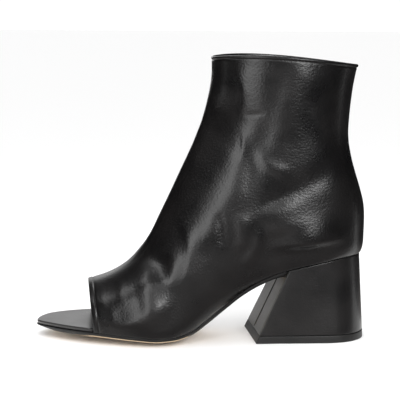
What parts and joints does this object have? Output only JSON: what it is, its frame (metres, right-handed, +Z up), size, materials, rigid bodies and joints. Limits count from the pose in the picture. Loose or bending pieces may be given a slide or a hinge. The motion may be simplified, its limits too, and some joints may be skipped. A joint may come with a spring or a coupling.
{
  "type": "ankle boot",
  "caption": "Open-toe leather ankle boot, left, with a straight collar, a thin raised sole and a flared, leather-covered block heel on a top lift.",
  "frame": {"origin": "on the floor, in the middle of the boot's length and of its width", "axes": "+X from the toe to the heel, +Y to the medial side, +Z up; the boot is a left one, so the lateral side faces -Y"},
  "size_m": [0.245, 0.0891, 0.2105],
  "materials": {
    "upper_leather": "smooth, polished, fine creases",
    "insole_leather": "satin, wrapped edge",
    "outsole_leather": "smooth tan underside, black stained edge",
    "heel_leather": "satin cover, fine level grain",
    "top_lift_rubber": "dull, fine tread"
  },
  "bodies": {
    "root": {"upper": "upper_leather", "insole": "insole_leather", "outsole": "outsole_leather", "heel": "heel_leather", "top_lift": "top_lift_rubber"}
  },
  "joints": []
}
